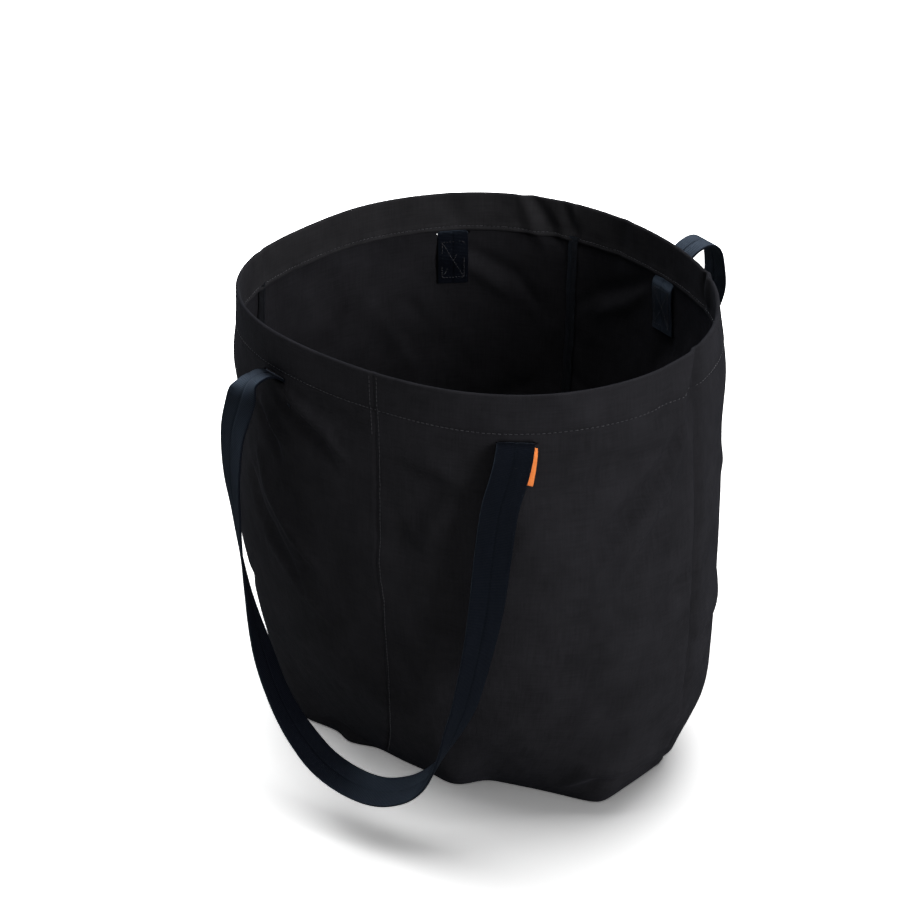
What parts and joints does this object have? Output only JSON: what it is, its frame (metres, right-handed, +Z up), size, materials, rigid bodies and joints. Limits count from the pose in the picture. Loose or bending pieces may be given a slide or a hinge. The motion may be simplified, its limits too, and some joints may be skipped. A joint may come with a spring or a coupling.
{
  "type": "foldable tote bag",
  "caption": "Soft open-top tote bag with a six-sided base, round mouth and two webbing handles; the back closes flat onto the front and both handles swing.",
  "frame": {"origin": "centre of the flat underside of the base panel, on the floor plane", "axes": "+Z up through the mouth, -Y towards the front wall and its handle, +X towards the bag's right side"},
  "size_m": [0.3879, 0.4009, 0.4],
  "materials": {
    "cloth": "matte tightly woven black cloth",
    "hem_band": "matte black cloth band turned in at the mouth",
    "binding_tape": "matte black woven seam tape",
    "webbing": "satin navy-black ribbed webbing",
    "thread": "dark blue-grey stitching thread",
    "ribbon_tab": "satin orange ribbon"
  },
  "bodies": {
    "front_body": {"front_left_panel": "cloth", "front_right_panel": "cloth", "base_panel": "cloth", "front_facing": "hem_band", "front_centre_binding": "binding_tape", "left_side_binding": "binding_tape", "right_side_binding": "binding_tape", "left_corner_binding": "binding_tape", "right_corner_binding": "binding_tape", "front_handle_end_left": "webbing", "front_handle_end_right": "webbing", "front_left_tack": "thread", "front_right_tack": "thread"},
    "back_body": {"back_left_panel": "cloth", "back_right_panel": "cloth", "back_facing": "hem_band", "back_centre_binding": "binding_tape", "back_handle_end_left": "webbing", "back_handle_end_right": "webbing", "back_left_tack": "thread", "back_right_tack": "thread"},
    "front_handle": {"front_handle_webbing": "webbing", "side_tab": "ribbon_tab"},
    "back_handle": {"back_handle_webbing": "webbing"}
  },
  "joints": [
    {"name": "fold_flat", "type": "slide", "parent": "front_body", "child": "back_body", "axis": [0, -1, 0], "range_m": [0, 0.262], "deforming": ["back_left_panel", "back_right_panel", "back_facing", "back_centre_binding"]},
    {"name": "front_handle_swing", "type": "hinge", "parent": "front_body", "child": "front_handle", "pos_m": [-0.00675, -0.168, 0.3695], "axis": [-0.9978, 0.0572, -0.0333], "range_deg": [0, 175]},
    {"name": "back_handle_swing", "type": "hinge", "parent": "back_body", "child": "back_handle", "pos_m": [0.0165, 0.17175, 0.3775], "axis": [0.999, -0.0196, 0.0393], "range_deg": [0, 175]}
  ]
}
